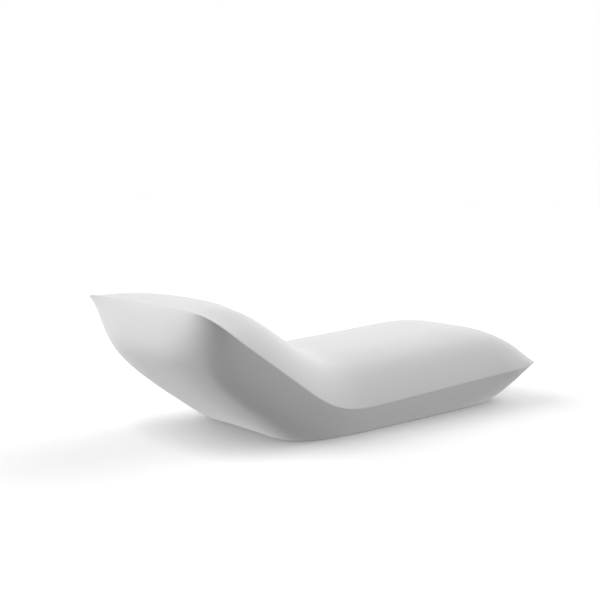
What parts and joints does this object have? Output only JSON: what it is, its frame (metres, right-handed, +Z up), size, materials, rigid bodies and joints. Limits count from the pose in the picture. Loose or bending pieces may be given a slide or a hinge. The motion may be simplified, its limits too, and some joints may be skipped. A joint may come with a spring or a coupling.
{
  "type": "sun lounger",
  "caption": "One-piece moulded sun lounger shaped like a bent pillow, with a raised head end, a seam ridge with softly pointed corners and a flat base on low feet.",
  "frame": {"origin": "on the floor, under the middle of the lounger's length and width", "axes": "+X from the head end to the foot end, +Y to the left of the person lying on it, +Z up"},
  "size_m": [1.997, 0.9136, 0.6033],
  "materials": {
    "white_polyethylene": "satin, fine moulded stipple",
    "white_polypropylene": "satin, injection moulded",
    "grey_polypropylene": "satin, injection moulded",
    "black_rubber": "matt moulded rubber",
    "stainless_steel": "plain stainless steel",
    "brass": "turned brass"
  },
  "bodies": {
    "lounger": {"shell": "white_polyethylene", "rubber_foot_head_left": "black_rubber", "rubber_foot_head_right": "black_rubber", "rubber_foot_seat_left": "black_rubber", "rubber_foot_seat_right": "black_rubber", "rubber_foot_leg_left": "black_rubber", "rubber_foot_leg_right": "black_rubber", "foot_screw_head_left": "stainless_steel", "foot_screw_head_right": "stainless_steel", "foot_screw_seat_left": "stainless_steel", "foot_screw_seat_right": "stainless_steel", "foot_screw_leg_left": "stainless_steel", "foot_screw_leg_right": "stainless_steel", "foot_insert_head_left": "brass", "foot_insert_head_right": "brass", "foot_insert_seat_left": "brass", "foot_insert_seat_right": "brass", "foot_insert_leg_left": "brass", "foot_insert_leg_right": "brass", "drain_bush": "grey_polypropylene"},
    "drain_seal": {"drain_seal": "black_rubber"},
    "drain_plug": {"drain_plug": "white_polypropylene"}
  },
  "joints": [
    {"name": "drain_seal_drop", "type": "slide", "parent": "lounger", "child": "drain_seal", "axis": [0, 0, -1], "range_m": [0, 0.0151]},
    {"name": "drain_plug_turn", "type": "hinge", "parent": "drain_seal", "child": "drain_plug", "pos_m": [-0.09639, 0, 0.008], "axis": [0, 0, -1], "range_deg": [0, 1800]}
  ],
  "couplings": [
    {"joint": "drain_seal_drop", "follows": "drain_plug_turn", "m_per_rad": 0.00047746}
  ]
}
